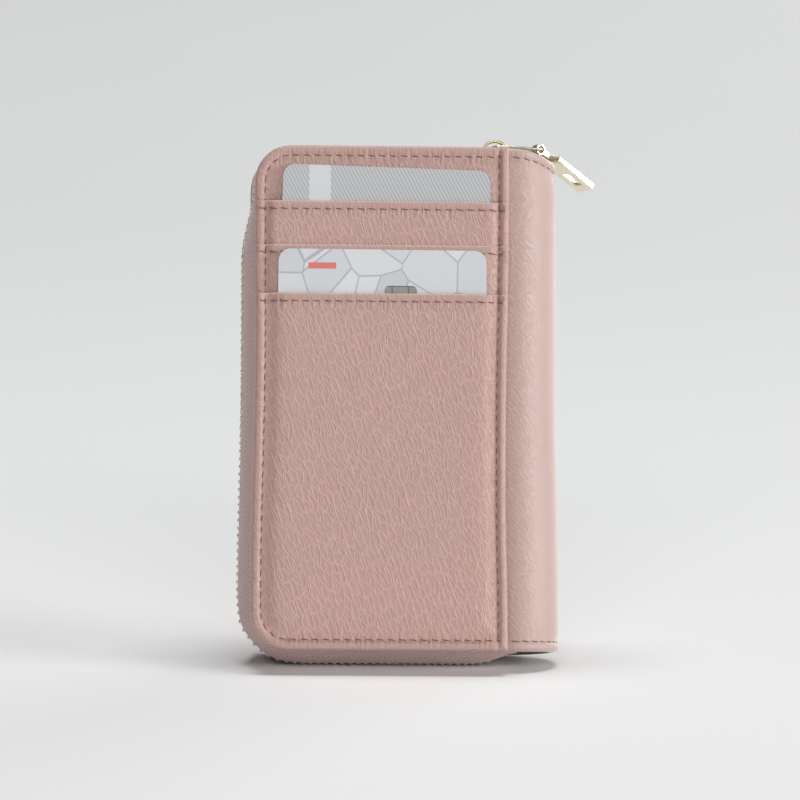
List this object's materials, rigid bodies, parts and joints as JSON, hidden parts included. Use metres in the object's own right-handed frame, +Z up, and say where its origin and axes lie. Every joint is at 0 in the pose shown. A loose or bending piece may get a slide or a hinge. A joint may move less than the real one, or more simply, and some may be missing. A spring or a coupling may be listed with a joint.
{
  "type": "zip-around wallet",
  "caption": "Zip-around card wallet that opens like a book: stiff leather covers on a soft spine, a metal zip with a pull, and stepped card pockets on the front holding plain cards.",
  "frame": {"origin": "middle of the footprint of the wallet as it stands leaning back, on the surface that it stands on", "axes": "+Z up; -Y towards the front with the card pockets; +X towards the spine; the covers lean back towards +Y by 12.9 degrees"},
  "size_m": [0.0932, 0.0592, 0.1339],
  "materials": {
    "leather": "dusty rose pebbled faux leather, satin",
    "inside_leather": "smooth thin dusty rose leather, satin",
    "board": "plain greyboard",
    "padding": "soft foam and felt",
    "lining": "fine woven lining cloth",
    "zip_tape": "herringbone woven tape",
    "zip_metal": "pale gold plated teeth",
    "hardware": "polished pale gold plate",
    "silver_card": "satin silver print with fine hatching",
    "white_card": "gloss white print with pale grey facets"
  },
  "bodies": {
    "front_cover": {"front_cover_leather": "leather", "front_cover_board": "board", "front_lining": "lining", "zip_tape_front": "zip_tape", "zip_teeth_front": "zip_metal", "zip_top_stop_front": "zip_metal", "zip_bottom_stop_front": "zip_metal", "front_pocket_panel": "leather", "card_pocket_upper": "leather", "card_pocket_middle": "leather", "card_pocket_lower": "leather", "inside_card_slot_1": "inside_leather", "inside_card_slot_2": "inside_leather", "inside_card_slot_3": "inside_leather"},
    "spine": {"spine_leather": "leather", "spine_padding": "padding", "spine_lining": "lining"},
    "rear_cover": {"rear_cover_leather": "leather", "rear_cover_board": "board", "rear_lining": "lining", "zip_tape_rear": "zip_tape", "zip_teeth_rear": "zip_metal", "zip_top_stop_rear": "zip_metal", "zip_bottom_stop_rear": "zip_metal", "note_pocket": "inside_leather", "slip_pocket": "inside_leather"},
    "slider": {"zip_slider": "hardware", "slider_bridge": "hardware"},
    "pull_link": {"pull_link": "hardware"},
    "pull_tab": {"pull_tab": "hardware"},
    "upper_card": {"upper_card": "silver_card"},
    "lower_card": {"lower_card": "white_card"}
  },
  "joints": [
    {"name": "front_fold", "type": "hinge", "parent": "front_cover", "child": "spine", "pos_m": [0.02237, -0.00997, 0.06905], "axis": [0, -0.2231, -0.9748], "range_deg": [0, 85]},
    {"name": "rear_fold", "type": "hinge", "parent": "spine", "child": "rear_cover", "pos_m": [0.02237, 0.01489, 0.06336], "axis": [0, -0.2231, -0.9748], "range_deg": [0, 85]},
    {"name": "zip_slide", "type": "slide", "parent": "spine", "child": "slider", "axis": [1, 0, 0], "range_m": [-0.045, 0]},
    {"name": "link_swing", "type": "hinge", "parent": "slider", "child": "pull_link", "pos_m": [0.01957, 0.01749, 0.1319], "axis": [0.2588, -0.9416, 0.2155], "range_deg": [0, 150]},
    {"name": "tab_swing", "type": "hinge", "parent": "pull_link", "child": "pull_tab", "pos_m": [0.03135, 0.02052, 0.13099], "axis": [0.454, -0.8686, 0.1988], "range_deg": [0, 75]},
    {"name": "upper_card_slide", "type": "slide", "parent": "front_cover", "child": "upper_card", "axis": [0, 0.2231, 0.9748], "range_m": [0, 0.06]},
    {"name": "lower_card_slide", "type": "slide", "parent": "front_cover", "child": "lower_card", "axis": [0, 0.2231, 0.9748], "range_m": [0, 0.06]}
  ],
  "couplings": [
    {"joint": "rear_fold", "follows": "front_fold", "ratio": 1},
    {"joint": "link_swing", "follows": "zip_slide", "rad_per_m": -58}
  ]
}
